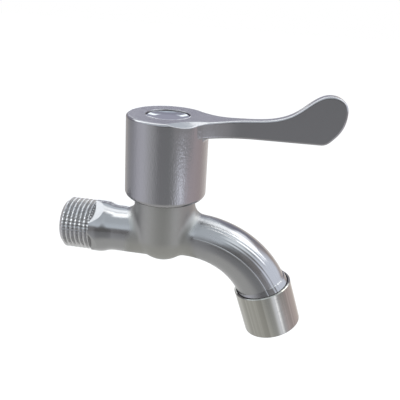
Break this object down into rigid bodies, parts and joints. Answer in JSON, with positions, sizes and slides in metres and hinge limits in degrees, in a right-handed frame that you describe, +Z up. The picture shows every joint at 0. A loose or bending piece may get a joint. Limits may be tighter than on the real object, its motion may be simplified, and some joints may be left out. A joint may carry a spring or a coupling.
{
  "type": "mop sink tap",
  "caption": "Wall mounted cold water tap for a mop sink: threaded inlet, quarter turn lever, bent spout with a screwed aerator.",
  "frame": {"origin": "on the inlet axis where the full inlet thread ends, at the wall side of the wrench boss", "axes": "+X along the inlet axis towards the spout, +Z up along the handle's axis, -X is the way the tap screws into the wall"},
  "size_m": [0.1063, 0.0322, 0.1016],
  "materials": {
    "satin_steel": "satin cast stainless steel",
    "brushed_handle_steel": "brushed along the skirt and lever",
    "turned_steel": "fine turned rings, bright",
    "polished_chrome": "polished",
    "brass": "machined",
    "clip_steel": "plain stainless",
    "rubber": "black rubber",
    "ceramic": "lapped alumina",
    "white_plastic": "moulded white plastic"
  },
  "bodies": {
    "tap": {"tap_body": "satin_steel", "headwork_housing": "brass", "housing_seal": "rubber", "fixed_disc": "ceramic", "disc_seal": "rubber", "seal_backing_ring": "white_plastic", "aerator_shell": "turned_steel", "aerator_washer": "rubber", "aerator_insert": "white_plastic", "aerator_screen": "clip_steel", "jet_plate": "white_plastic", "flow_straightener": "white_plastic"},
    "handle": {"lever_handle": "brushed_handle_steel", "handle_screw": "clip_steel", "index_button": "polished_chrome", "spindle": "brass", "lower_spindle_seal": "rubber", "upper_spindle_seal": "rubber", "glide_washer": "white_plastic", "stop_washer": "clip_steel", "circlip": "clip_steel", "moving_disc": "ceramic"}
  },
  "joints": [
    {"name": "handle_turn", "type": "hinge", "parent": "tap", "child": "handle", "pos_m": [0.0293, 0, 0.034], "axis": [0, 0, 1], "range_deg": [0, 90]}
  ]
}
